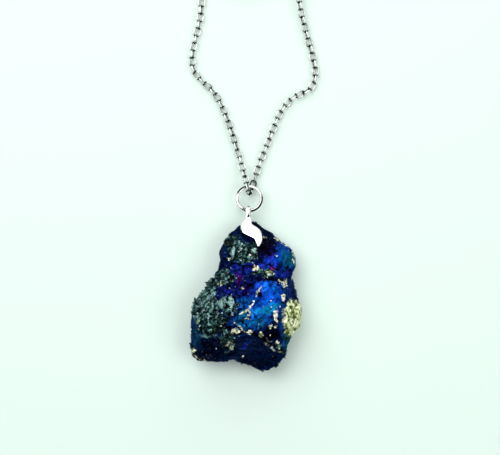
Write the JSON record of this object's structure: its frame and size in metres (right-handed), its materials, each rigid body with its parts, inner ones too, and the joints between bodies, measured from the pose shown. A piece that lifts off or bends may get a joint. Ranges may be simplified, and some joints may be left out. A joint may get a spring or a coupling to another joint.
{
  "type": "peacock ore pendant",
  "caption": "Rough lump of iridescent ore in a leaf-shaped pinch bail, on a jump ring and a fine cable chain with a clasp, lying on its back.",
  "frame": {"origin": "middle of the flat spot on the stone's back, on the surface that it lies on", "axes": "+Z out of the stone's front, +Y along the stone towards the bail and the chain, +X to the right as seen from the front"},
  "size_m": [0.034, 0.1255, 0.0162],
  "materials": {
    "ore": "iridescent blue, violet and teal tarnish with grey-green granular crust, pale grains and gold specks",
    "silver": "polished silver-coloured metal",
    "chain": "bright rolled wire links"
  },
  "bodies": {
    "root": {"stone": "ore", "bail": "silver", "jump_ring": "silver", "chain_strands": "chain", "chain_coil": "chain", "clasp": "silver", "clasp_ring": "silver"}
  },
  "joints": []
}
